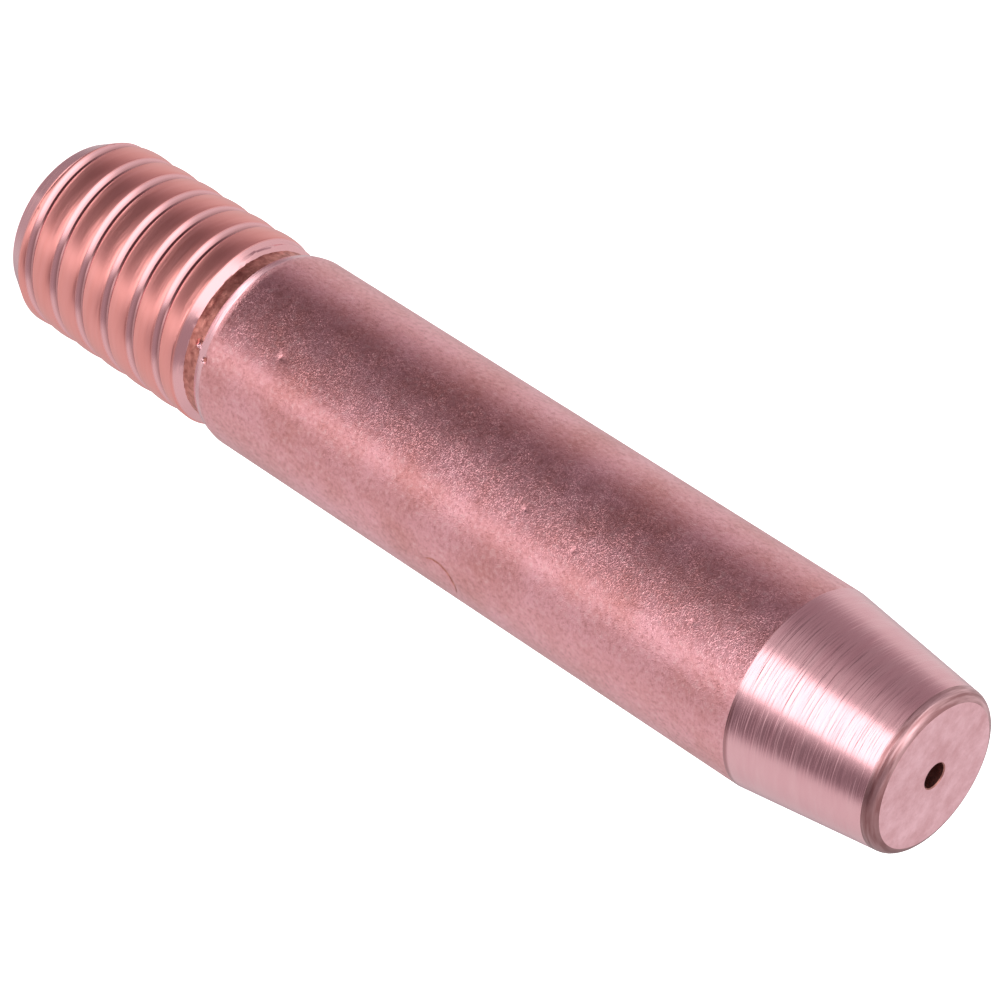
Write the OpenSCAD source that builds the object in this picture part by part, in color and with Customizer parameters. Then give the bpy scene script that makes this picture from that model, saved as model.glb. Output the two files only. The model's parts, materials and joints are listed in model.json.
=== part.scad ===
// Welding contact tip: one piece of copper bar with a rolled thread, a plain body,
// a turned taper to a flat nose and a wire bore right through.
// It stands on its threaded end, with the nose up along +Z and its photographed side to -Y.

/* [Body] */
// Length from the threaded end to the nose face
overall_length = 43.3; // [34:0.1:60]
// Diameter of the plain body
body_d = 7.9; // [7.8:0.1:10]

/* [Wire bore] */
// Diameter of the wire bore
bore_d = 1; // [0.6:0.05:1.6]
// Diameter of the funnel mouth where the wire enters
funnel_d = 2.4; // [1.8:0.1:4]
// Full angle of the funnel
funnel_angle = 60; // [40:5:120]

/* [Nose] */
// Length of the turned taper, up to the nose face
taper_length = 6.1; // [3:0.1:12]
// Diameter of the taper at the nose face, before its edge is rounded
nose_d = 6.3; // [4:0.1:7.4]
// Radius of the edge between the taper and the nose face
nose_edge_r = 0.45; // [0.1:0.05:1]

/* [Thread] */
// Diameter over the crests
thread_d = 7.75; // [7.3:0.05:7.8]
// Length from the threaded end to the neck
thread_length = 9.7; // [6:0.1:16]
// Turns in one inch
turns_per_inch = 18; // [16:1:20]
// Depth of the groove below the crests
thread_depth = 0.25; // [0.2:0.05:0.35]
// Width of the flat at the bottom of the groove
root_width = 0.12; // [0.06:0.02:0.2]
// Distance below the neck at which the last turn of the groove crosses the photographed side
last_turn_gap = 0; // [0:0.05:1]

/* [Thread ends] */
// Length of the lead chamfer at the threaded end
lead_length = 0.9; // [0.3:0.1:2]
// Depth of the lead chamfer below the crests
lead_depth = 0.5; // [0.4:0.05:0.8]
// Length of the neck between thread and shoulder
neck_length = 0.8; // [0.3:0.05:2]
// Depth of the neck below the crests, with a 45 degree chamfer down to it
neck_depth = 0.35; // [0.2:0.05:0.6]
// Length of the shoulder's chamfer, from the neck to the full body
shoulder_length = 0.7; // [0.3:0.1:2]
// Depth of the shoulder's chamfer below the body, at the square wall of the neck
shoulder_depth = 0.2; // [0.1:0.05:0.3]

/* [Hidden] */
copper = "#c98a80";
mm_per_inch = 25.4;
cut_margin = 1;
body_facets = 144;
bore_facets = 48;
edge_facets = 64;

// Turned form
body_r = body_d / 2;
nose_r = nose_d / 2;
crest_r = thread_d / 2;
neck_r = crest_r - neck_depth;
neck_end_z = thread_length + neck_length;
taper_z = overall_length - taper_length;
taper_angle = atan((body_r - nose_r) / taper_length);
edge_inset = nose_edge_r * (1 / cos(taper_angle) - tan(taper_angle));
edge_centre = [nose_r - edge_inset, overall_length - nose_edge_r];
funnel_depth = (funnel_d - bore_d) / 2 / tan(funnel_angle / 2);

// Thread form: gently domed crests with rounded corners, straight flanks and a narrow flat root.
// Slopes are angles from the bar's axis.
pitch = mm_per_inch / turns_per_inch;
flank_angle = 42;
corner_angle = 18;
top_angle = 10;
middle_angle = (flank_angle + corner_angle) / 2;
corner_r = 0.15;
flank_run = 1 / tan(flank_angle);
corner_run = corner_r * (sin(flank_angle) - sin(corner_angle));
corner_drop = corner_r * (cos(corner_angle) - cos(flank_angle));
dome_room = (pitch - root_width) / 2 - corner_run - (thread_depth - corner_drop) * flank_run;
dome_r = dome_room / (sin(corner_angle) - flank_run * (cos(top_angle) - cos(corner_angle)));

// Path of the groove: it starts one turn below the bar, crosses the photographed side
// just below the neck, and leaves the bar over the last quarter of the next half turn
steps_per_turn = 36;
step_angle = 360 / steps_per_turn;
step_rise = pitch / steps_per_turn;
photo_angle = 270;
photo_z = thread_length - last_turn_gap;
photo_step = ceil((photo_z + pitch) / step_rise);
last_step = photo_step + steps_per_turn / 2;
runout_steps = steps_per_turn / 4;

// Point of the domed crest where its slope is the given angle, as [from the groove's middle, radius]
function dome_point(slope) = [
    pitch / 2 - dome_r * sin(slope),
    crest_r - dome_r * (cos(top_angle) - cos(slope))
];

// Point of the rounded corner between dome and flank where its slope is the given angle
function corner_point(slope) =
    dome_point(corner_angle)
    - corner_r * [sin(slope) - sin(corner_angle), cos(corner_angle) - cos(slope)];

// One side of the groove's section, from the root to a point just outside the crest
function groove_side() =
    let (edge = dome_point(corner_angle), top = dome_point(top_angle))
    [
        [root_width / 2, crest_r - thread_depth],
        corner_point(flank_angle),
        corner_point(middle_angle),
        edge,
        top + (top - edge)
    ];

// Both sides of the groove's section, round from the upper corner of the root
function groove_section() =
    let (side = groove_side(), last = len(side) - 1)
    concat(side, [for (i = [last:-1:0]) [-side[i][0], side[i][1]]]);

// How far the section has left the bar, slowly at first and quite clear of it at the last step
function groove_lift(step) =
    (thread_depth + corner_r) * pow(max(0, 1 - (last_step - step) / runout_steps), 2);

// The groove's section in its place along the helix
function groove_ring(step) =
    let (
        turn = photo_angle + (step - photo_step) * step_angle,
        middle_z = photo_z + (step - photo_step) * step_rise,
        lift = groove_lift(step)
    )
    [for (p = groove_section()) [(p[1] + lift) * cos(turn), (p[1] + lift) * sin(turn), middle_z + p[0]]];

// The helical cut between the crests, as one closed skin over all its rings
module thread_groove() {
    sides = len(groove_section());
    points = [for (step = [0:last_step]) each groove_ring(step)];
    walls = [
        for (step = [0:last_step - 1], i = [0:sides - 1])
            let (a = step * sides + i, b = step * sides + (i + 1) % sides)
            each [[a, a + sides, b], [b, a + sides, b + sides]]
    ];
    first_cap = [for (i = [0:sides - 1]) i];
    last_cap = [for (i = [sides - 1:-1:0]) last_step * sides + i];
    polyhedron(points, concat(walls, [first_cap, last_cap]));
}

// Half section of the bar before the thread is cut
module turned_section() {
    taper_edge = edge_centre + nose_edge_r * [cos(taper_angle), sin(taper_angle)];
    face_edge = [edge_centre[0], overall_length];
    polygon([
        [0, 0],
        [crest_r - lead_depth, 0],
        [crest_r, lead_length],
        [crest_r, thread_length - neck_depth],
        [neck_r, thread_length],
        [neck_r, neck_end_z],
        [body_r - shoulder_depth, neck_end_z],
        [body_r, neck_end_z + shoulder_length],
        [body_r, taper_z],
        taper_edge,
        face_edge,
        [0, overall_length]
    ]);
    translate(edge_centre) circle(r = nose_edge_r, $fn = edge_facets);
}

// Bore for the wire, with a funnel at the threaded end where the wire enters
module wire_bore() {
    translate([0, 0, -cut_margin])
        cylinder(d = bore_d, h = overall_length + 2 * cut_margin, $fn = bore_facets);
    cylinder(d1 = funnel_d, d2 = bore_d, h = funnel_depth, $fn = bore_facets);
}

module contact_tip() {
    color(copper)
        difference() {
            rotate_extrude($fn = body_facets) turned_section();
            thread_groove();
            wire_bore();
        }
}

contact_tip();
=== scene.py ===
# %% [markdown]
# A contact tip is the copper nozzle that guides the wire of a welding torch and feeds it current.
# It is one turned piece: a rolled thread, a plain drawn body, a turned taper and a fine bore.
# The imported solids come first, as a fixed frame. Everything below is built in that frame, in metres, and
# sizes in millimetres are multiplied by MM where Blender needs them.

# %% Load the frame
import json
import math

import bmesh
import bpy
from mathutils import Matrix, Vector, noise


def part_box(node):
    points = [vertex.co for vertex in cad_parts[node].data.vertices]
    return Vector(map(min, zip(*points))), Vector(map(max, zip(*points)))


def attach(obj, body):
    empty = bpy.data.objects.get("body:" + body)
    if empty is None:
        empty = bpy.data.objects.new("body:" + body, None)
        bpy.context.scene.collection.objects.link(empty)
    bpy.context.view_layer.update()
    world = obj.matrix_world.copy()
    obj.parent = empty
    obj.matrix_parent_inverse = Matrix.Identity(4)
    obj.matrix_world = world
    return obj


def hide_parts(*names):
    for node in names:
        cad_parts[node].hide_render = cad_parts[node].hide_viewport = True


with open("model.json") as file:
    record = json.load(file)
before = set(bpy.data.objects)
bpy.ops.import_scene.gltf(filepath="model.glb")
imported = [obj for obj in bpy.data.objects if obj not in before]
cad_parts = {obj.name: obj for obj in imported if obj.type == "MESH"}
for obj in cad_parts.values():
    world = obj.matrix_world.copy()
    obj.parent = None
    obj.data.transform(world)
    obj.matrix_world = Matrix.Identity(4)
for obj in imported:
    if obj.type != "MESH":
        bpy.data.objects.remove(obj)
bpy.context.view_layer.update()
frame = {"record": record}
MM = 0.001

# %% [markdown]
# The main sizes are read from the frame, so the dressed tip keeps the solids' form: the overall length
# and body width from the box, and the bore from the record's mount. The rest are the turned and rolled
# details, in millimetres. They are the solids' own, except that the groove is 0.04 mm shallower, its root
# 0.04 mm narrower and the crests flatter, so that the bright flank shows as narrow as on the real tip.

# %% Sizes of the body, nose and bore
low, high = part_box("contact_tip")
LENGTH = (high[2] - low[2]) / MM
BODY_R = (high[0] - low[0]) / 2 / MM
bore_mount = next(m for m in frame["record"]["mounts"] if m["name"] == "wire_bore")
BORE_R = bore_mount["dims"]["r_mm"]
FUNNEL_DEPTH = LENGTH - bore_mount["dims"]["length_mm"]
FUNNEL_R = 1.2
TAPER_LENGTH = 6.1
TAPER_Z = LENGTH - TAPER_LENGTH
NOSE_R = 3.15
NOSE_EDGE_R = 0.45
print(f"tip {LENGTH:.2f} mm long, body {2 * BODY_R:.2f} mm, bore {2 * BORE_R:.2f} mm")

# %% Sizes of the thread, neck and shoulder
INCH = 25.4
TURNS_PER_INCH = 18
PITCH = INCH / TURNS_PER_INCH
CREST_R = 3.875
GROOVE_DEPTH = 0.21
ROOT_WIDTH = 0.08
FLANK = math.radians(42)
CORNER = math.radians(9)
CORNER_R = 0.12
THREAD_LENGTH = 9.7
LEAD_LENGTH = 0.9
LEAD_DEPTH = 0.5
NECK_DEPTH = 0.35
NECK_LENGTH = 0.8
SHOULDER_LENGTH = 0.7
SHOULDER_DEPTH = 0.2
NECK_R = CREST_R - NECK_DEPTH
NECK_END = THREAD_LENGTH + NECK_LENGTH
SHOULDER_Z = NECK_END + SHOULDER_LENGTH
print(f"pitch {PITCH:.3f} mm, thread {THREAD_LENGTH} mm long, neck {2 * NECK_R:.2f} mm across")

# %% [markdown]
# The thread is rolled: a die presses a helical groove into the bar, and the metal rises into round crests.
# A cutter and a Boolean could carve it, but that leaves slivers that show in a shiny metal. Here one pitch
# of the section is drawn as a line and swept, so that every edge follows the helix. The section runs from
# the groove's root up a straight flank and round a corner to the middle of a gently domed crest.

# %% Work out one pitch of the thread's section
FLANK_STEPS = 3
CORNER_STEPS = 5
DOME_STEPS = 5

corner_run = CORNER_R * (math.sin(FLANK) - math.sin(CORNER))
corner_drop = CORNER_R * (math.cos(CORNER) - math.cos(FLANK))
dome_room = (PITCH - ROOT_WIDTH) / 2 - corner_run - (GROOVE_DEPTH - corner_drop) / math.tan(FLANK)
dome_r = dome_room / (math.sin(CORNER) - (1 - math.cos(CORNER)) / math.tan(FLANK))


def between(a, b, share):
    """The point at a share of the way from a to b."""
    return tuple(p + (q - p) * share for p, q in zip(a, b))


def half_groove():
    """Section from the groove's root up to the middle of the crest, as (along the axis, radius) in mm."""
    dome = []
    for i in range(DOME_STEPS + 1):
        slope = CORNER * (1 - i / DOME_STEPS)
        dome.append((PITCH / 2 - dome_r * math.sin(slope), CREST_R - dome_r * (1 - math.cos(slope))))
    corner = []
    for i in range(CORNER_STEPS):
        slope = FLANK + (CORNER - FLANK) * i / CORNER_STEPS
        corner.append((dome[0][0] - CORNER_R * (math.sin(slope) - math.sin(CORNER)),
                       dome[0][1] - CORNER_R * (math.cos(CORNER) - math.cos(slope))))
    foot = (ROOT_WIDTH / 2, CREST_R - GROOVE_DEPTH)
    flank = [between(foot, corner[0], i / FLANK_STEPS) for i in range(FLANK_STEPS)]
    return flank + corner + dome


side = half_groove()
section = [(-along, r) for along, r in reversed(side)] + side
print(f"one pitch has {len(section)} points, crests domed to {dome_r:.3f} mm")

# %% [markdown]
# By hand, a line like this is drawn by extruding one vertex from point to point, and the script does the
# same. It starts at +X, a quarter turn past the photographed side, so it sits a quarter pitch higher than
# the groove does on that side, and enough whole turns lower to begin below the bar.

# %% Draw the section as a line
LAST_TURN_Z = THREAD_LENGTH
turns_below = math.ceil(LAST_TURN_Z / PITCH + 1)
start_z = LAST_TURN_Z + PITCH / 4 - turns_below * PITCH


def select_none():
    """Leaves edit mode with nothing selected."""
    if bpy.context.mode != "OBJECT":
        bpy.ops.object.mode_set(mode="OBJECT")
    bpy.ops.object.select_all(action="DESELECT")


def draw_line(name, points):
    """A chain of edges through points in mm, drawn as by hand from one vertex."""
    select_none()
    bpy.ops.mesh.primitive_plane_add(size=MM)
    line = bpy.context.object
    line.name = name
    bpy.ops.object.mode_set(mode="EDIT")
    bpy.ops.mesh.merge(type="CENTER")
    bpy.ops.transform.translate(value=Vector(points[0]) * MM)
    for a, b in zip(points, points[1:]):
        bpy.ops.mesh.extrude_vertices_move(TRANSFORM_OT_translate={"value": (Vector(b) - Vector(a)) * MM})
    bpy.ops.object.mode_set(mode="OBJECT")
    return line


tip = draw_line("contact_tip_copper", [(r, 0, start_z + along) for along, r in section])
print("section line:", len(tip.data.edges), "edges, from z", round(start_z, 3), "mm")

# %% [markdown]
# An Array stacks the pitch along the bar. A Screw modifier then turns the stack once round the axis while
# it climbs by one pitch, so its last column meets its first one turn higher, and merging the doubles closes
# the seam. Spin could turn it too, but it doesn't climb.

# %% Sweep the section into a thread
COLUMNS = 180
PITCHES_STACKED = 10
STACK_MERGE = 0.002 * MM
SEAM_MERGE = 0.004 * MM


def apply_modifier(piece, kind, **settings):
    """Adds a modifier with its settings and applies it."""
    modifier = piece.modifiers.new(kind.title(), kind)
    for key, value in settings.items():
        setattr(modifier, key, value)
    bpy.context.view_layer.objects.active = piece
    bpy.ops.object.modifier_apply(modifier=modifier.name)


def edit_all(piece):
    """Opens a piece in edit mode with all of it selected."""
    select_none()
    piece.select_set(True)
    bpy.context.view_layer.objects.active = piece
    bpy.ops.object.mode_set(mode="EDIT")
    bpy.ops.mesh.select_all(action="SELECT")


apply_modifier(tip, "ARRAY", count=PITCHES_STACKED, use_relative_offset=False, use_constant_offset=True,
               constant_offset_displace=(0, 0, PITCH * MM), use_merge_vertices=True,
               merge_threshold=STACK_MERGE)
apply_modifier(tip, "SCREW", axis="Z", angle=2 * math.pi, screw_offset=PITCH * MM, steps=COLUMNS,
               render_steps=COLUMNS, use_merge_vertices=False, use_normal_calculate=False)
edit_all(tip)
bpy.ops.mesh.remove_doubles(threshold=SEAM_MERGE)
bpy.ops.object.mode_set(mode="OBJECT")
print("swept thread:", len(tip.data.vertices), "vertices")

# %% [markdown]
# The sweep is longer than the thread. Deleting its outer faces would leave ragged ends that follow the helix.
# Bisect cuts it square instead, and it also cuts a ring wherever the turned blank has a corner, so that
# those corners stay crisp when the vertices are moved.

# %% Trim the thread to length
NECK_MARGIN = 0.05
THREAD_TOP = NECK_END - NECK_MARGIN
CUT = {"plane_no": (0, 0, 1), "threshold": 0.0001 * MM}

edit_all(tip)
bpy.ops.mesh.bisect(plane_co=(0, 0, 0), clear_inner=True, **CUT)
bpy.ops.mesh.select_all(action="SELECT")
bpy.ops.mesh.bisect(plane_co=(0, 0, THREAD_TOP * MM), clear_outer=True, **CUT)
for z in (LEAD_LENGTH, THREAD_LENGTH - NECK_DEPTH, THREAD_LENGTH):
    bpy.ops.mesh.select_all(action="SELECT")
    bpy.ops.mesh.bisect(plane_co=(0, 0, z * MM), **CUT)
bpy.ops.object.mode_set(mode="OBJECT")
print("trimmed thread: z to", round(max(v.co.z for v in tip.data.vertices) / MM, 3), "mm")

# %% [markdown]
# The real bar was chamfered at its end and necked at the shoulder before the die ran over it. So each vertex
# of the swept thread is held inside that turned blank, and the groove is lifted out of the metal over a
# quarter turn on the far side. The neck's skin is torn and rough, as it is on the real tip: a noise moves its
# vertices, because a bump alone would leave the neck's outline smooth.

# %% Turn the blank and run the groove out
# In turns: where the run-out starts past the photographed side, its length, and that side from +X
RUNOUT_START = 0.25
RUNOUT_TURNS = 0.25
PHOTO_TURN = 0.75
# In mm: how coarse, how deep and how soon faded in the torn skin is
TORN_GRAIN = 0.22
TORN_DEPTH = 0.03
TORN_FADE = 0.1


def blank_radius(z):
    """Radius in mm of the turned bar before the thread was rolled, up to the neck."""
    if z < LEAD_LENGTH:
        return CREST_R - LEAD_DEPTH * (1 - z / LEAD_LENGTH)
    return min(CREST_R, max(NECK_R, NECK_R + THREAD_LENGTH - z))


def groove_lift(turn, z):
    """How far the groove has left the bar, in mm, at a turn from the photographed side and a height."""
    whole = round((z - LAST_TURN_Z) / PITCH - turn)
    past = max(0, turn + whole - RUNOUT_START) / RUNOUT_TURNS
    return (GROOVE_DEPTH + CORNER_R) * past ** 2


def torn_share(z):
    """How torn the skin is at a height, from 0 to 1 in the neck."""
    fade_in = min(1, max(0, (z - THREAD_LENGTH + TORN_FADE) / TORN_FADE))
    fade_out = min(1, (THREAD_TOP - z) / TORN_FADE)
    return fade_in * fade_out


for v in tip.data.vertices:
    x, y, z = v.co / MM
    turn = (math.atan2(y, x) / (2 * math.pi) - PHOTO_TURN) % 1
    rolled = math.hypot(x, y)
    r = min(blank_radius(z), rolled + groove_lift(turn, z))
    r += TORN_DEPTH * torn_share(z) * noise.noise(Vector((x, y, z)) / TORN_GRAIN)
    v.co.xy = v.co.xy * (r / rolled)
widest = max(math.hypot(v.co.x, v.co.y) for v in tip.data.vertices) / MM
print("thread held inside the blank, widest", round(widest, 3), "mm from the axis")

# %% [markdown]
# The rest of the tip is plain turning: shoulder, body, taper, rounded edge, nose face, then down the bore
# and out through the funnel. A Spin of the whole outline would make the same form, but it wouldn't meet the
# thread's top ring point by point. So the outline is a list of stations that this ring is extruded through.
# Close pairs of stations keep the edges crisp once the mesh is shaded smooth.

# %% Round the nose's edge and the shoulder
EDGE_STEPS = 8
SHOULDER_STEPS = 8
# Half the angle that the rounded shoulder turns through
SHOULDER_ROUND = math.radians(8)

taper_slope = math.atan((BODY_R - NOSE_R) / TAPER_LENGTH)
edge_inset = NOSE_EDGE_R * (1 / math.cos(taper_slope) - math.tan(taper_slope))
edge_r, edge_z = NOSE_R - edge_inset, LENGTH - NOSE_EDGE_R
nose_edge = []
for i in range(EDGE_STEPS + 1):
    angle = taper_slope + (math.pi / 2 - taper_slope) * i / EDGE_STEPS
    nose_edge.append((edge_r + NOSE_EDGE_R * math.cos(angle), edge_z + NOSE_EDGE_R * math.sin(angle)))

shoulder_slope = math.atan(SHOULDER_DEPTH / SHOULDER_LENGTH)
flattest = shoulder_slope - SHOULDER_ROUND
shoulder_r = math.hypot(SHOULDER_DEPTH, SHOULDER_LENGTH) / 2 / math.sin(SHOULDER_ROUND)
rounded_shoulder = []
for i in range(1, SHOULDER_STEPS + 1):
    slope = flattest + 2 * SHOULDER_ROUND * (1 - i / SHOULDER_STEPS)
    rounded_shoulder.append((BODY_R - shoulder_r * (math.cos(flattest) - math.cos(slope)),
                             SHOULDER_Z - shoulder_r * (math.sin(slope) - math.sin(flattest))))
print(f"taper of {math.degrees(taper_slope):.1f} degrees, shoulder rounded to {shoulder_r:.2f} mm")

# %% List the turning stations
CRISP = 0.04
BODY_RINGS = 110
TAPER_RINGS = 50
FACE_RINGS = 10
MOUTH_RING_DEPTH = 2

neck_end, wall_top = (NECK_R, NECK_END), (BODY_R - SHOULDER_DEPTH, NECK_END)
shoulder, taper_start = (BODY_R, SHOULDER_Z), (BODY_R, TAPER_Z)
taper_end = nose_edge[0]
mouth = (BORE_R, LENGTH)
stations = [neck_end, wall_top] + rounded_shoulder + [(BODY_R, SHOULDER_Z + CRISP)]
stations += [between(shoulder, taper_start, i / BODY_RINGS) for i in range(1, BODY_RINGS)]
stations += [(BODY_R, TAPER_Z - CRISP), taper_start]
stations += [between(taper_start, taper_end, CRISP / TAPER_LENGTH)]
stations += [between(taper_start, taper_end, i / TAPER_RINGS) for i in range(1, TAPER_RINGS)]
stations += nose_edge
stations += [between(nose_edge[-1], mouth, i / FACE_RINGS) for i in range(1, FACE_RINGS)]
stations += [(BORE_R + CRISP, LENGTH), (BORE_R, LENGTH - CRISP)]
stations += [(BORE_R, LENGTH - MOUTH_RING_DEPTH), (BORE_R, FUNNEL_DEPTH), (FUNNEL_R, 0)]
print(len(stations), "stations from neck to funnel mouth")

# %% [markdown]
# Extrude makes each new ring, and Resize about the axis brings it to its radius. At the end the two open
# rings of the threaded end are bridged. A last merge and a recalculation of normals leave one closed skin
# that faces outwards.

# %% Extrude the ring through the stations
SAME_HEIGHT = 0.001 * MM


def select_ring(piece, z):
    """Selects the open ring of edges at a height in mm."""
    mesh = bmesh.from_edit_mesh(piece.data)
    for edge in mesh.edges:
        level = all(abs(v.co.z - z * MM) < SAME_HEIGHT for v in edge.verts)
        edge.select_set(edge.is_boundary and level)
    bmesh.update_edit_mesh(piece.data)


edit_all(tip)
bpy.ops.mesh.select_mode(type="EDGE")
select_ring(tip, THREAD_TOP)
here = (NECK_R, THREAD_TOP)
for there in stations:
    step = (0, 0, (there[1] - here[1]) * MM)
    bpy.ops.mesh.extrude_edges_move(TRANSFORM_OT_translate={"value": step})
    share = there[0] / here[0]
    bpy.ops.transform.resize(value=(share, share, 1), center_override=(0, 0, there[1] * MM))
    here = there
print("turned tip:", len(bmesh.from_edit_mesh(tip.data).faces), "faces before its end is closed")

# %% Close the threaded end
END_MERGE = 0.0005 * MM

select_ring(tip, 0)
bpy.ops.mesh.bridge_edge_loops()
bpy.ops.mesh.select_mode(type="VERT")
bpy.ops.mesh.select_all(action="SELECT")
bpy.ops.mesh.remove_doubles(threshold=END_MERGE)
bpy.ops.mesh.normals_make_consistent(inside=False)
bpy.ops.mesh.select_all(action="DESELECT")
bpy.ops.mesh.select_non_manifold()
loose = sum(v.select for v in bmesh.from_edit_mesh(tip.data).verts)
bpy.ops.object.mode_set(mode="OBJECT")
print("tip:", len(tip.data.vertices), "vertices,", len(tip.data.polygons), "faces, open:", loose)

# %% [markdown]
# A tip that has lain in a box carries small knocks and scratches. A bump texture could draw them, but real
# dents also reach the exported mesh. So each mark is a spot where the mesh is made finer and then pressed
# in, by a hundredth to a tenth of a millimetre. A mark's shape says how much of its depth each point takes.

# %% Shapes of the marks
RIM_WIDTH = 0.10
UNEVEN = 0.35
RIM_WAVES = 1.7
PIT_STEEPNESS = 3
SCRATCH_MIDDLE = math.radians(-50)


def offset_from(co, mark):
    """Place of a point as seen from a mark, in mm: along the turn and along the axis."""
    arc = math.atan2(co.y, co.x) - math.radians(mark["turn"])
    arc = (arc + math.pi) % (2 * math.pi) - math.pi
    return arc * BODY_R, co.z / MM - mark["z"]


def pit(away, size):
    """A pit with an uneven rim."""
    wave = noise.noise(Vector((*away, size)) / size * RIM_WAVES)
    d = math.hypot(*away) / size * (1 + UNEVEN * wave)
    return math.exp(-PIT_STEEPNESS * d * d)


def crescent(away, size):
    """A scratch along part of a ring."""
    d = math.hypot(*away) / size
    open_side = 0.5 + 0.5 * math.cos(math.atan2(away[0], away[1]) - SCRATCH_MIDDLE)
    return open_side * math.exp(-((d - 1) / RIM_WIDTH) ** 2)


centre = (0, 0)
print("share of the depth at the centre: pit", pit(centre, 1), "crescent", round(crescent(centre, 1), 2))

# %% [markdown]
# Each mark has its place as a turn in degrees from +X and a height in millimetres, its size and depth in
# millimetres, and the number of cuts that make the mesh finer there. Five pits and two curved scratches lie
# on the body. The deepest pit cuts the shoulder, and beside it, with a depth below zero, a burr stands up.

# %% List the marks
MARKS = (
    {"turn": 271, "z": 14.1, "size": 0.26, "depth": 0.030, "shape": pit, "cuts": 4},
    {"turn": 270, "z": 12.6, "size": 0.14, "depth": 0.010, "shape": pit, "cuts": 4},
    {"turn": 273, "z": 28.9, "size": 0.18, "depth": 0.016, "shape": pit, "cuts": 4},
    {"turn": 269, "z": 26.3, "size": 0.18, "depth": 0.016, "shape": pit, "cuts": 4},
    {"turn": 271, "z": 34.4, "size": 0.18, "depth": 0.014, "shape": pit, "cuts": 4},
    {"turn": 328, "z": 34.3, "size": 0.34, "depth": 0.016, "shape": crescent, "cuts": 4},
    {"turn": 337, "z": 23.3, "size": 0.85, "depth": 0.030, "shape": crescent, "cuts": 4, "finish": "torn"},
    {"turn": 296, "z": 10.9, "size": 0.24, "depth": 0.100, "shape": pit, "cuts": 3, "finish": "torn"},
    {"turn": 292, "z": 10.3, "size": 0.28, "depth": -0.24, "shape": pit, "cuts": 2, "finish": "turned"},
)
print("marks:", len(MARKS), "from z", min(m["z"] for m in MARKS), "to", max(m["z"] for m in MARKS), "mm")

# %% Press the marks into the metal
LEAST_SHARE = 0.03


def share_of(mark, co):
    """How much of a mark's depth reaches a point of the skin, from 0 to 1."""
    if math.hypot(co.x, co.y) < FUNNEL_R * MM:
        return 0
    return mark["shape"](offset_from(co, mark), mark["size"])


def refine(piece, mark):
    """Cuts the faces that a mark moves into finer ones."""
    edit_all(piece)
    bpy.ops.mesh.select_mode(type="FACE")
    mesh = bmesh.from_edit_mesh(piece.data)
    for face in mesh.faces:
        face.select_set(share_of(mark, face.calc_center_median()) > LEAST_SHARE)
    bmesh.update_edit_mesh(piece.data)
    bpy.ops.mesh.subdivide(number_cuts=mark["cuts"])
    bpy.ops.object.mode_set(mode="OBJECT")


def press(piece, mark):
    """Moves the skin towards the axis by a mark's depth, and never out past the body."""
    for v in piece.data.vertices:
        share = share_of(mark, v.co)
        if share > LEAST_SHARE:
            r = math.hypot(v.co.x, v.co.y)
            v.co.xy *= min(BODY_R * MM, r - mark["depth"] * MM * share) / r


for mark in MARKS:
    refine(tip, mark)
    press(tip, mark)
print("after", len(MARKS), "marks:", len(tip.data.polygons), "faces")

# %% [markdown]
# The turned faces are round on the real tip, but the mesh has flat ones. Many more faces would hide that, at
# a cost. Smooth shading hides it for free, and its angle keeps true corners, such as the neck's wall.

# %% Shade the turned faces smooth
SHARP = math.radians(40)

edit_all(tip)
bpy.ops.object.mode_set(mode="OBJECT")
bpy.ops.object.shade_smooth_by_angle(angle=SHARP)
print("edges kept sharp:", sum(edge.use_edge_sharp for edge in tip.data.edges))

# %% [markdown]
# All finishes are bare copper: a metal, so its colour is in its reflection. What changes from zone to zone is
# how the surface was made. Painted images could show that, but they need a UV map and blur when seen close.
# Noise that reads Object coordinates in millimetres needs no map, and its sizes are real. Colours are sRGB
# hex values that one function turns to linear, and one function adds a node with its settings and links.

# %% Colour and node helpers
def linear(hex_colour):
    """The linear colour of an sRGB hex value, by the standard's own curve."""
    parts = [int(hex_colour[i:i + 2], 16) / 255 for i in (1, 3, 5)]
    return [c / 12.92 if c <= 0.04045 else ((c + 0.055) / 1.055) ** 2.4 for c in parts] + [1]


def add(tree, kind, inputs=None, **settings):
    """Adds a node. An input is a value to set, or a socket to link from."""
    node = tree.nodes.new(kind)
    for key, value in settings.items():
        setattr(node, key, value)
    for key, value in (inputs or {}).items():
        if isinstance(value, bpy.types.NodeSocket):
            tree.links.new(value, node.inputs[key])
        else:
            node.inputs[key].default_value = value
    return node


print("mid grey #808080 is", round(linear("#808080")[0], 3), "in linear light")

# %% Start and keep a copper finish
FINISHES = {}


def start_copper(name, roughness):
    """A copper material: its node tree, its shader and the place on the piece in mm."""
    material = bpy.data.materials.new(name)
    material.use_nodes = True
    tree = material.node_tree
    shader = tree.nodes["Principled BSDF"]
    shader.inputs["Metallic"].default_value = 1
    shader.inputs["Roughness"].default_value = roughness
    coords = add(tree, "ShaderNodeTexCoord")
    place = add(tree, "ShaderNodeVectorMath", {0: coords.outputs["Object"], "Scale": 1 / MM},
                operation="SCALE")
    return material, tree, shader, place.outputs["Vector"]


def keep_finish(zone, material):
    """Files a finish under the word for how its zone was made."""
    FINISHES[zone] = material
    print(material.name, "has", len(material.node_tree.nodes), "nodes")


print("finishes so far:", len(FINISHES))

# %% [markdown]
# The body is bar as it left the drawing die. To the eye it is satin copper with brownish patches, dark
# freckles and small rubbed spots. A photograph wrapped round it would show a seam, so two noises colour it:
# a wide one for the patches, and a fine one whose high parts are freckles and whose low parts are rubbed.

# %% Colour of the drawn body
PATCH_SIZE = 2.2
SPECK_SIZE = 0.18
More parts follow.
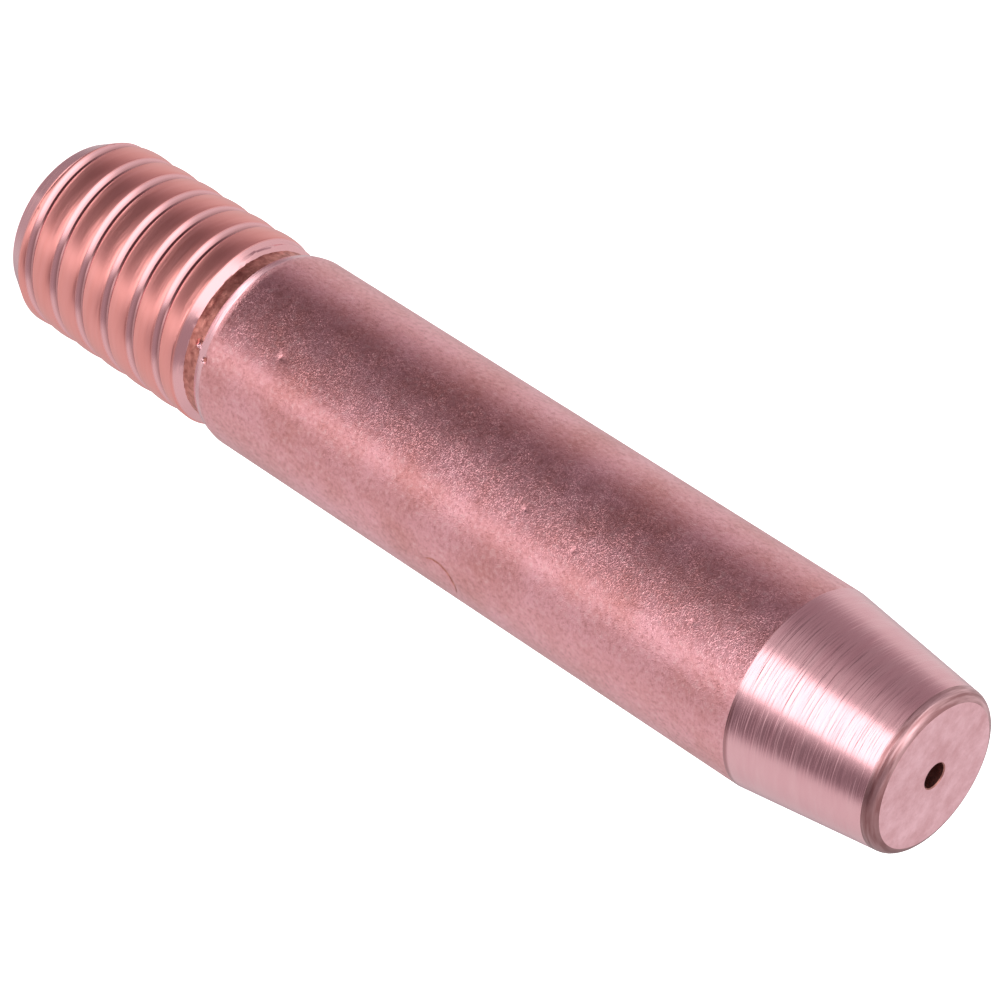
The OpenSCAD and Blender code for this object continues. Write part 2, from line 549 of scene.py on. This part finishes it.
# Parts of the noises that count as tarnish, freckles and rubbed spots, and how strong these get
TARNISH = {"From Min": 0.35, "From Max": 0.68}
FRECKLES = {"From Min": 0.5, "From Max": 0.72, "To Max": 0.5}
RUBS = {"From Min": 0.48, "From Max": 0.28, "To Max": 0.5}


def drawn_colour(tree, place):
    """Copper with patches, freckles and rubbed spots, as a socket."""
    patch = add(tree, "ShaderNodeTexNoise", {"Vector": place, "Scale": 1 / PATCH_SIZE, "Detail": 5,
                                             "Roughness": 0.65})
    speck = add(tree, "ShaderNodeTexNoise", {"Vector": place, "Scale": 1 / SPECK_SIZE, "Detail": 3,
                                             "Roughness": 0.7})
    tarnish = add(tree, "ShaderNodeMapRange", {"Value": patch.outputs["Fac"], **TARNISH})
    freckle = add(tree, "ShaderNodeMapRange", {"Value": speck.outputs["Fac"], **FRECKLES})
    rub = add(tree, "ShaderNodeMapRange", {"Value": speck.outputs["Fac"], **RUBS})
    bare = add(tree, "ShaderNodeMix", {"Factor": tarnish.outputs["Result"], "A": linear("#f8b4bc"),
                                       "B": linear("#e29a9a")}, data_type="RGBA")
    spotted = add(tree, "ShaderNodeMix", {"Factor": freckle.outputs["Result"], "A": bare.outputs[2],
                                          "B": linear("#ad6b66")}, data_type="RGBA")
    rubbed = add(tree, "ShaderNodeMix", {"Factor": rub.outputs["Result"], "A": spotted.outputs[2],
                                         "B": linear("#ffd0d0")}, data_type="RGBA")
    return rubbed.outputs[2]


print("patches of", PATCH_SIZE, "mm and specks of", SPECK_SIZE, "mm")

# %% [markdown]
# The die also leaves fine pits that sparkle at the edge of a reflection. They could be modelled, but there
# are far too many, so a bump draws them. Most are finer than a pixel of the picture, so the grain is drawn
# coarser than real, to show. It is strongest in clumps, and a little weaker towards the thread.

# %% Grain of the drawn body
DRAWN_ROUGHNESS = 0.3
GRAIN_SIZE = 0.06
GRAIN_HEIGHT = 0.007 * MM
CLUMP_SIZE = 0.9
# Parts of the noises that count, then heights in mm, with the share of the bump that they get
DOTS = {"From Min": 0.5, "From Max": 0.75}
CLUMPS = {"From Min": 0.4, "From Max": 0.6, "To Min": 0.6, "To Max": 1}
COARSER_TO_NOSE = {"From Min": 13, "From Max": 24, "To Min": 0.8, "To Max": 1}


def drawn_grain(tree, place):
    """Fine dots that stand out more in clumps and towards the nose, as a normal's socket."""
    grain = add(tree, "ShaderNodeTexNoise", {"Vector": place, "Scale": 1 / GRAIN_SIZE, "Detail": 1,
                                             "Roughness": 0.5})
    clump = add(tree, "ShaderNodeTexNoise", {"Vector": place, "Scale": 1 / CLUMP_SIZE, "Detail": 2})
    axes = add(tree, "ShaderNodeSeparateXYZ", {0: place})
    coarse = add(tree, "ShaderNodeMapRange", {"Value": axes.outputs["Z"], **COARSER_TO_NOSE})
    cluster = add(tree, "ShaderNodeMapRange", {"Value": clump.outputs["Fac"], **CLUMPS})
    strength = add(tree, "ShaderNodeMath", {0: coarse.outputs["Result"], 1: cluster.outputs["Result"]},
                   operation="MULTIPLY")
    dots = add(tree, "ShaderNodeMapRange", {"Value": grain.outputs["Fac"], **DOTS})
    bump = add(tree, "ShaderNodeBump", {"Height": dots.outputs["Result"], "Distance": GRAIN_HEIGHT,
                                        "Strength": strength.outputs["Value"]})
    return bump.outputs["Normal"]


def drawn_copper():
    """Bar pulled through a die: a satin, grainy skin with pits, rubbed spots and brownish patches."""
    material, tree, shader, place = start_copper("drawn_copper", DRAWN_ROUGHNESS)
    tree.links.new(drawn_colour(tree, place), shader.inputs["Base Color"])
    tree.links.new(drawn_grain(tree, place), shader.inputs["Normal"])
    return material


keep_finish("drawn", drawn_copper())

# %% [markdown]
# The taper was cut on a lathe, which leaves it bright, with fine rings that fade in and out as they go
# round. A wave texture gives rings that are too even. A noise squeezed along the axis gives rings that come
# and go, as a tool's do. A thin dark line of painted shade lies where the taper starts, on the side that lies
# low in the picture, which is +X.

# %% Painted shade where the taper starts
# Distances in mm from the taper's start and from the axis, and the share of painted shade there
LINE_WIDTH = {"From Min": 0.1, "From Max": 0.2, "To Min": 0.6, "To Max": 0}
LINE_SIDE = {"From Min": 0.8, "From Max": 2}


def taper_shade_line(tree, place):
    """How much painted shade shows at a place: a thin dark line where the taper starts, on +X alone."""
    axes = add(tree, "ShaderNodeSeparateXYZ", {0: place})
    past = add(tree, "ShaderNodeMath", {0: axes.outputs["Z"], 1: TAPER_Z}, operation="SUBTRACT")
    away = add(tree, "ShaderNodeMath", {0: past.outputs["Value"]}, operation="ABSOLUTE")
    line = add(tree, "ShaderNodeMapRange", {"Value": away.outputs["Value"], **LINE_WIDTH})
    low_side = add(tree, "ShaderNodeMapRange", {"Value": axes.outputs["X"], **LINE_SIDE})
    line_shade = add(tree, "ShaderNodeMath", {0: line.outputs["Result"], 1: low_side.outputs["Result"]},
                operation="MULTIPLY")
    return line_shade.outputs["Value"]


# The dark line at the taper's start is painted shade; this prints how far it reaches.
print("tarnish reaches", LINE_WIDTH["From Max"], "mm to each side of z", round(TAPER_Z, 2), "mm")

# %% Turned copper of the taper
TURNED_ROUGHNESS = 0.2
# Sizes of the patterns along X, Y and Z, in mm
TOOL_RINGS = (3, 3, 0.1)
TOOL_BANDS = (2, 2, 0.4)
RING_HEIGHT = 0.014 * MM


def per_size(sizes):
    """Scales that make a pattern of these sizes in mm along X, Y and Z."""
    return tuple(1 / size for size in sizes)


def turned_copper():
    """Cut on a lathe: bright, with fine rings left by the tool that fade in and out round the taper."""
    material, tree, shader, place = start_copper("turned_copper", TURNED_ROUGHNESS)
    fine = add(tree, "ShaderNodeVectorMath", {0: place, 1: per_size(TOOL_RINGS)}, operation="MULTIPLY")
    wide = add(tree, "ShaderNodeVectorMath", {0: place, 1: per_size(TOOL_BANDS)}, operation="MULTIPLY")
    rings = add(tree, "ShaderNodeTexNoise", {"Vector": fine.outputs["Vector"], "Scale": 1, "Detail": 3})
    bands = add(tree, "ShaderNodeTexNoise", {"Vector": wide.outputs["Vector"], "Scale": 1, "Detail": 2})
    colour = add(tree, "ShaderNodeMix", {"Factor": bands.outputs["Fac"], "A": linear("#ecaeb6"),
                                         "B": linear("#f6c3c8")}, data_type="RGBA")
    # Painted shade: the thin dark line where the taper starts, on +X.
    with_line_shade = add(tree, "ShaderNodeMix", {"Factor": taper_shade_line(tree, place), "A": colour.outputs[2],
                                        "B": linear("#8a5254")}, data_type="RGBA")
    tree.links.new(with_line_shade.outputs[2], shader.inputs["Base Color"])
    height = add(tree, "ShaderNodeMath", {0: rings.outputs["Fac"], 1: bands.outputs["Fac"]}, operation="ADD")
    bump = add(tree, "ShaderNodeBump", {"Height": height.outputs["Value"], "Distance": RING_HEIGHT})
    tree.links.new(bump.outputs["Normal"], shader.inputs["Normal"])
    return material


keep_finish("turned", turned_copper())

# %% [markdown]
# Both ends were faced off square, which leaves a dull, even skin with smudges where they were handled.
# Anisotropic shading could suggest the facing cut, but hardly any of it shows on the real nose. So a wide
# noise makes the smudges, and a bump makes the dull grain, drawn coarser than real so that it shows.

# %% Faced copper of the nose and the threaded end
FACED_ROUGHNESS = 0.42
SMUDGE_SIZE = 1.2
FACED_GRAIN_SIZE = 0.2
FACED_GRAIN_HEIGHT = 0.025 * MM
SMUDGES = {"From Min": 0.35, "From Max": 0.65}


def faced_copper():
    """Faced off square: a dull, even skin with a faint grain and smudges."""
    material, tree, shader, place = start_copper("faced_copper", FACED_ROUGHNESS)
    smudge = add(tree, "ShaderNodeTexNoise", {"Vector": place, "Scale": 1 / SMUDGE_SIZE, "Detail": 5,
                                              "Roughness": 0.75})
    grain = add(tree, "ShaderNodeTexNoise", {"Vector": place, "Scale": 1 / FACED_GRAIN_SIZE, "Detail": 3})
    blotch = add(tree, "ShaderNodeMapRange", {"Value": smudge.outputs["Fac"], **SMUDGES})
    colour = add(tree, "ShaderNodeMix", {"Factor": blotch.outputs["Result"], "A": linear("#fac8d0"),
                                         "B": linear("#e0a8ae")}, data_type="RGBA")
    tree.links.new(colour.outputs[2], shader.inputs["Base Color"])
    bump = add(tree, "ShaderNodeBump", {"Height": grain.outputs["Fac"], "Distance": FACED_GRAIN_HEIGHT})
    tree.links.new(bump.outputs["Normal"], shader.inputs["Normal"])
    return material


keep_finish("faced", faced_copper())

# %% [markdown]
# The edge of the nose was broken with a file and then handled: it is brownish, with short bright streaks that
# run round it. On +X it is darkened further with painted shade. A ring of scratches could be modelled, but a
# noise squeezed along the axis gives the streaks in one node, and it serves both the colour and the bump.

# %% Rubbed copper of the nose's edge
RUBBED_ROUGHNESS = 0.3
FILE_STREAKS = (1.5, 1.5, 0.12)
STREAK_HEIGHT = 0.02 * MM
BRIGHT_STREAKS = {"From Min": 0.38, "From Max": 0.66}
SHADE_SIDE = {"From Min": -0.5, "From Max": 2, "To Max": 0.6}


def rubbed_copper():
    """Filed and handled: brownish, with short bright streaks round the edge, and painted shade on +X."""
    material, tree, shader, place = start_copper("rubbed_copper", RUBBED_ROUGHNESS)
    round_edge = add(tree, "ShaderNodeVectorMath", {0: place, 1: per_size(FILE_STREAKS)},
                     operation="MULTIPLY")
    streak = add(tree, "ShaderNodeTexNoise", {"Vector": round_edge.outputs["Vector"], "Scale": 1,
                                              "Detail": 4})
    worn = add(tree, "ShaderNodeMapRange", {"Value": streak.outputs["Fac"], **BRIGHT_STREAKS})
    colour = add(tree, "ShaderNodeMix", {"Factor": worn.outputs["Result"], "A": linear("#ac7a7c"),
                                         "B": linear("#ecbcc0")}, data_type="RGBA")
    # Painted shade: the edge darkens towards +X.
    axes = add(tree, "ShaderNodeSeparateXYZ", {0: place})
    low_side = add(tree, "ShaderNodeMapRange", {"Value": axes.outputs["X"], **SHADE_SIDE})
    side_shaded = add(tree, "ShaderNodeMix", {"Factor": low_side.outputs["Result"], "A": colour.outputs[2],
                                          "B": linear("#7c4c4c")}, data_type="RGBA")
    tree.links.new(side_shaded.outputs[2], shader.inputs["Base Color"])
    bump = add(tree, "ShaderNodeBump", {"Height": streak.outputs["Fac"], "Distance": STREAK_HEIGHT})
    tree.links.new(bump.outputs["Normal"], shader.inputs["Normal"])
    return material


keep_finish("rubbed", rubbed_copper())

# %% [markdown]
# A rolling die burnishes the flanks of a thread, while the crests stay warm and satin; the root is darkened
# with painted shade. Three materials on three strips of faces would show hard borders. One material that
# reads the distance from the axis blends them. The painted shade stops at the lead chamfer and short of the
# neck.

# %% Painted shade in the thread's root
ROOT_SHADE_SHARE = 0.5
ROOT_SHADE_RISE = 0.4
LEAD_FADE = 0.3
# Distances below the neck between which the painted shade fades out
ROOT_SHADE_STOPS = (0.5, 0.35)


def thread_root_shade(tree, place, radius):
    """How much painted shade darkens a place: none on the crests, the lead chamfer and the neck."""
    # Painted shade: darker towards the groove's root.
    root = add(tree, "ShaderNodeMapRange", {"Value": radius, "From Min": CREST_R - GROOVE_DEPTH,
                                            "From Max": CREST_R - (1 - ROOT_SHADE_RISE) * GROOVE_DEPTH,
                                            "To Min": ROOT_SHADE_SHARE, "To Max": 0})
    axes = add(tree, "ShaderNodeSeparateXYZ", {0: place})
    past_lead = add(tree, "ShaderNodeMapRange", {"Value": axes.outputs["Z"],
                                                 "From Min": LEAD_LENGTH - LEAD_FADE,
                                                 "From Max": LEAD_LENGTH})
    short_of_neck = add(tree, "ShaderNodeMapRange", {"Value": axes.outputs["Z"],
                                                     "From Min": THREAD_LENGTH - ROOT_SHADE_STOPS[0],
                                                     "From Max": THREAD_LENGTH - ROOT_SHADE_STOPS[1],
                                                     "To Min": 1, "To Max": 0})
    inner = add(tree, "ShaderNodeMath", {0: past_lead.outputs["Result"], 1: short_of_neck.outputs["Result"]},
                operation="MULTIPLY")
    root_shade = add(tree, "ShaderNodeMath", {0: root.outputs["Result"], 1: inner.outputs["Value"]},
                operation="MULTIPLY")
    return root_shade.outputs["Value"]


print("grime fills the lowest", round(ROOT_SHADE_RISE * GROOVE_DEPTH, 3), "mm of the groove")

# %% Rolled copper of the thread
FLANK_ROUGHNESS = 0.18
CREST_ROUGHNESS = 0.32
ROLLED_STREAKS = (2, 2, 0.2)
ROLLED_HEIGHT = 0.012 * MM
# Depths below the crest between which a flank blends into its crest
CREST_BELOW = (0.09, 0.04)


def rolled_copper():
    """Pressed by a rolling die: warm satin crests, burnished flanks and a little painted shade in the root.
    """
    material, tree, shader, place = start_copper("rolled_copper", CREST_ROUGHNESS)
    along = add(tree, "ShaderNodeVectorMath", {0: place, 1: per_size(ROLLED_STREAKS)}, operation="MULTIPLY")
    streak = add(tree, "ShaderNodeTexNoise", {"Vector": along.outputs["Vector"], "Scale": 1, "Detail": 4})
    flat = add(tree, "ShaderNodeVectorMath", {0: place, 1: (1, 1, 0)}, operation="MULTIPLY")
    radius = add(tree, "ShaderNodeVectorMath", {0: flat.outputs["Vector"]}, operation="LENGTH")
    crest = add(tree, "ShaderNodeMapRange", {"Value": radius.outputs["Value"],
                                             "From Min": CREST_R - CREST_BELOW[0],
                                             "From Max": CREST_R - CREST_BELOW[1]})
    warm = add(tree, "ShaderNodeMix", {"Factor": streak.outputs["Fac"], "A": linear("#fcaca8"),
                                       "B": linear("#f09a92")}, data_type="RGBA")
    bright = add(tree, "ShaderNodeMix", {"Factor": crest.outputs["Result"], "A": linear("#f4b8bc"),
                                         "B": warm.outputs[2]}, data_type="RGBA")
    # Painted shade darkens the colour in the thread's root.
    root_shaded = add(tree, "ShaderNodeMix", {"Factor": thread_root_shade(tree, place, radius.outputs["Value"]),
                                        "A": bright.outputs[2], "B": linear("#8c5450")}, data_type="RGBA")
    tree.links.new(root_shaded.outputs[2], shader.inputs["Base Color"])
    polish = add(tree, "ShaderNodeMapRange", {"Value": crest.outputs["Result"], "To Min": FLANK_ROUGHNESS,
                                              "To Max": CREST_ROUGHNESS})
    tree.links.new(polish.outputs["Result"], shader.inputs["Roughness"])
    bump = add(tree, "ShaderNodeBump", {"Height": streak.outputs["Fac"], "Distance": ROLLED_HEIGHT})
    tree.links.new(bump.outputs["Normal"], shader.inputs["Normal"])
    return material


keep_finish("rolled", rolled_copper())

# %% [markdown]
# In the neck the tool dragged and tore the copper, and the drill left the bore rough and dull. Both are the
# same kind of surface in different colours, so one function makes both: a scabby noise mixes a dark and a
# light copper, and the same noise lifts the light parts with a bump.

# %% Torn copper of the neck and drilled copper of the bore
DRAGGED_ROUGHNESS = 0.4
SCAB_SIZE = 0.3
SCAB_HEIGHT = 0.03 * MM
SCABS = {"From Min": 0.35, "From Max": 0.65}


def rough_copper(name, dark, light):
    """Where the tool dragged: rough, dark and uneven, between two colours."""
    material, tree, shader, place = start_copper(name, DRAGGED_ROUGHNESS)
    scab = add(tree, "ShaderNodeTexNoise", {"Vector": place, "Scale": 1 / SCAB_SIZE, "Detail": 4,
                                            "Roughness": 0.6})
    worn = add(tree, "ShaderNodeMapRange", {"Value": scab.outputs["Fac"], **SCABS})
    colour = add(tree, "ShaderNodeMix", {"Factor": worn.outputs["Result"], "A": linear(dark),
                                         "B": linear(light)}, data_type="RGBA")
    tree.links.new(colour.outputs[2], shader.inputs["Base Color"])
    bump = add(tree, "ShaderNodeBump", {"Height": scab.outputs["Fac"], "Distance": SCAB_HEIGHT})
    tree.links.new(bump.outputs["Normal"], shader.inputs["Normal"])
    return material


keep_finish("torn", rough_copper("torn_copper", "#b06a62", "#e89c90"))
keep_finish("drilled", rough_copper("drilled_copper", "#a06a64", "#c88c84"))

# %% [markdown]
# The finishes change where the maker's tool changed: thread, neck, a bright strip on the shoulder, body,
# taper, nose edge, faces and bore. The tip could be split into one object for each, but it is one piece of
# metal, so each face takes a finish by its place and direction. Three of the marks show one of their own.

# %% Give each zone its finish
SHOULDER_STRIP = 0.45
SQUARE_TO_AXIS = 0.99
MARK_MIDDLE = 0.6


def finish_at(centre, normal):
    """Name of the finish on a face, from its middle and its direction."""
    r, z = math.hypot(centre.x, centre.y) / MM, centre.z / MM
    if abs(normal.z) > SQUARE_TO_AXIS:
        return "faced"
    if r < FUNNEL_R:
        return "drilled"
    if z > edge_z:
        return "rubbed"
    if z < THREAD_LENGTH:
        return "rolled"
    for mark in MARKS:
        if "finish" in mark and share_of(mark, centre) > MARK_MIDDLE:
            return mark["finish"]
    if z < NECK_END:
        return "torn"
    return "drawn" if NECK_END + SHOULDER_STRIP < z < TAPER_Z else "turned"


for material in FINISHES.values():
    tip.data.materials.append(material)
order = list(FINISHES)
for face in tip.data.polygons:
    face.material_index = order.index(finish_at(face.center, face.normal))
for i, zone in enumerate(order):
    print(zone, "faces:", sum(face.material_index == i for face in tip.data.polygons))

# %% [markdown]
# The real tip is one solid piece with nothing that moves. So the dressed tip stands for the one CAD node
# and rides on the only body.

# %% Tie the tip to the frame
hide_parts("contact_tip")
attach(tip, "root")
print(tip.name, "stands for the node contact_tip")

# %% [markdown]
# The floor is a plain, pale surface that glows by itself, so that the picture's ground is nearly white. A lit
# white floor would do that too, but copper shows what it reflects, and a floor would cover the lower half of
# the room. So it is kept out of reflections and casts no shadow, and the room does the work.

# %% Floor
FLOOR_SIZE = 3.0
PALE = linear("#f4f3f3")
PAINT = {"Base Color": PALE, "Roughness": 0.9, "Specular IOR Level": 0, "Emission Color": PALE,
         "Emission Strength": 1}

select_none()
bpy.ops.mesh.primitive_plane_add(size=FLOOR_SIZE, location=(0, 0, 0))
floor = bpy.context.object
floor.name = "floor"
floor.visible_glossy = False
floor.visible_shadow = False
paint = bpy.data.materials.new("pale_matt_paint")
paint.use_nodes = True
for socket, value in PAINT.items():
    paint.node_tree.nodes["Principled BSDF"].inputs[socket].default_value = value
floor.data.materials.append(paint)
print("floor", FLOOR_SIZE, "m wide")

# %% [markdown]
# Bare copper looks like the room around it, so the room is drawn as a studio of soft cards. Area lights could
# do it, but their edges and fall-off are hard to place on a round bar. Here each card is a window in the
# world, with limits in degrees: a turn, from the photographed side round towards +X, and a rise from level. A
# card below level is seen in the copper because the floor isn't. Later cards cover earlier ones.

# %% List the studio's cards
ROOM = 0.94
CARDS = (
    {"name": "ceiling", "turn": (-200, 200), "rise": (48, 100), "soft": (10, 14), "level": 1.2},
    {"name": "front ceiling", "turn": (-75, 14), "rise": (26, 100), "soft": (16, 8), "level": 2.1},
    {"name": "upper gap", "turn": (22, 84), "rise": (24, 100), "soft": (8, 8), "level": 0.5},
    {"name": "left floor", "turn": (-175, -112), "rise": (-90, -47), "soft": (10, 6), "level": 0.42},
    {"name": "right floor", "turn": (112, 175), "rise": (-90, -47), "soft": (10, 6), "level": 0.6},
    {"name": "low light", "turn": (-95, 26), "rise": (-74, -61), "soft": (20, 4), "level": 3},
    {"name": "right side", "turn": (124, 210), "rise": (-66, 20), "soft": (20, 10), "level": 0.82},
    {"name": "back right", "turn": (156, 210), "rise": (-66, 5), "soft": (10, 10), "level": 0.6},
    {"name": "back left", "turn": (-210, -156), "rise": (-66, 5), "soft": (10, 10), "level": 0.7},
    {"name": "flag", "turn": (-91, 25), "rise": (-58, 10), "soft": (32, 6), "level": 0.15},
    {"name": "right gap", "turn": (40, 77), "rise": (-24, 16), "soft": (10, 8), "level": 0.27},
    {"name": "low box", "turn": (26, 48), "rise": (-56, -24), "soft": (6, 6), "level": 1.5},
    {"name": "front glow", "turn": (-100, 0), "rise": (-22, 10), "soft": (20, 4), "level": 0.44},
    {"name": "inner glow", "turn": (-40, 0), "rise": (-22, 10), "soft": (22, 4), "level": 0.85},
    {"name": "front box", "turn": (-14, 31), "rise": (-21, 8), "soft": (5, 3), "level": 2.7},
)
print("cards:", ", ".join(card["name"] for card in CARDS))

# %% Read turn and rise from a direction
world = bpy.data.worlds.new("studio")
bpy.context.scene.world = world
world.use_nodes = True
tree = world.node_tree
tree.nodes.clear()
way = add(tree, "ShaderNodeTexCoord")
axes = add(tree, "ShaderNodeSeparateXYZ", {0: way.outputs["Generated"]})
front = add(tree, "ShaderNodeMath", {0: axes.outputs["Y"], 1: -1}, operation="MULTIPLY")
turn = add(tree, "ShaderNodeMath", {0: axes.outputs["X"], 1: front.outputs[0]}, operation="ARCTAN2")
rise = add(tree, "ShaderNodeMath", {0: axes.outputs["Z"]}, operation="ARCSINE")
print("turn and rise take", len(tree.nodes), "nodes")

# %% Hang the cards
def window(angle, limits, soft):
    """One inside the limits and zero outside, with soft edges, as a socket."""
    first, last = (math.radians(limit) for limit in limits)
    half = math.radians(soft)
    opens = add(tree, "ShaderNodeMapRange", {"Value": angle, "From Min": first - half,
                                             "From Max": first + half}, interpolation_type="SMOOTHSTEP")
    shuts = add(tree, "ShaderNodeMapRange", {"Value": angle, "From Min": last - half, "From Max": last + half,
                                             "To Min": 1, "To Max": 0}, interpolation_type="SMOOTHSTEP")
    both = add(tree, "ShaderNodeMath", {0: opens.outputs[0], 1: shuts.outputs[0]}, operation="MULTIPLY")
    return both.outputs[0]


light = ROOM
for card in CARDS:
    across = window(turn.outputs[0], card["turn"], card["soft"][0])
    upward = window(rise.outputs[0], card["rise"], card["soft"][1])
    share = add(tree, "ShaderNodeMath", {0: across, 1: upward}, operation="MULTIPLY")
    light = add(tree, "ShaderNodeMix", {"Factor": share.outputs[0], "A": light,
                                        "B": card["level"]}).outputs[0]
print("studio of", len(CARDS), "cards in", len(tree.nodes), "nodes")

# %% [markdown]
# Dark parts of the room are tinted a little towards mauve, which gives the copper's shadows their colour.
# The camera itself sees a plain pale backdrop in place of the cards, by a Light Path node in the world.

# %% Tint the room and hang the backdrop
DIM_TO_BRIGHT = {"From Min": 0.15, "From Max": 0.9}

lit = add(tree, "ShaderNodeMapRange", {"Value": light, **DIM_TO_BRIGHT})
tint = add(tree, "ShaderNodeMix", {"Factor": lit.outputs["Result"], "A": linear("#e7cfdb"),
                                   "B": linear("#e7e7e7")}, data_type="RGBA")
studio = add(tree, "ShaderNodeBackground", {"Color": tint.outputs[2], "Strength": light})
backdrop = add(tree, "ShaderNodeBackground", {"Color": linear("#f7f6f6")})
path = add(tree, "ShaderNodeLightPath")
seen = add(tree, "ShaderNodeMixShader", {0: path.outputs["Is Camera Ray"], 1: studio.outputs[0],
                                         2: backdrop.outputs[0]})
add(tree, "ShaderNodeOutputWorld", {"Surface": seen.outputs[0]})
bpy.context.scene.view_settings.view_transform = "Standard"
print("room and backdrop:", len(tree.nodes), "nodes")

# %% [markdown]
# The camera takes the photograph's view: level with the side that faces -Y, about 32 degrees up, through a
# long lens, and rolled so that the tip lies across the picture with its nose to the lower right. It could be
# aimed by eye. Here it is placed from where the taper's start lies in the picture, so that it can be checked.

# %% Work out the camera's place
PICTURE = 1000
FOCAL_PIXELS = 5059
RISE = math.radians(32.1)
NOSE_DROP = math.radians(32.86)
TAPER_START_PIXEL = (800.6, 689.5)
TAPER_START_AWAY = 174.2

back = Vector((0, -math.cos(RISE), math.sin(RISE)))
level_right = Vector((1, 0, 0))
level_up = back.cross(level_right)
roll = math.pi / 2 + NOSE_DROP
right = level_right * math.cos(roll) + level_up * math.sin(roll)
up = back.cross(right)
aside = (TAPER_START_PIXEL[0] - PICTURE / 2) / FOCAL_PIXELS * TAPER_START_AWAY
below = (TAPER_START_PIXEL[1] - PICTURE / 2) / FOCAL_PIXELS * TAPER_START_AWAY
spot = Vector((0, 0, TAPER_Z)) - right * aside + up * below + back * TAPER_START_AWAY
print("camera at", [round(c, 2) for c in spot], "mm")

# %% Camera
SENSOR = 36
CLIP_START = 0.01

camera_data = bpy.data.cameras.new("photo_camera")
camera_data.lens = FOCAL_PIXELS / PICTURE * SENSOR
camera_data.sensor_width = SENSOR
camera_data.clip_start = CLIP_START
camera = bpy.data.objects.new("photo_camera", camera_data)
camera.matrix_world = Matrix.Translation(spot * MM) @ Matrix((right, up, back)).transposed().to_4x4()
bpy.context.scene.collection.objects.link(camera)
bpy.context.scene.camera = camera
print("lens", round(camera_data.lens, 1), "mm on a sensor of", SENSOR, "mm")

# %% [markdown]
# Last, the number of triangles in the dressed tip is printed.

# %% Count the triangles
print("triangles:", sum(len(face.vertices) - 2 for face in tip.data.polygons))
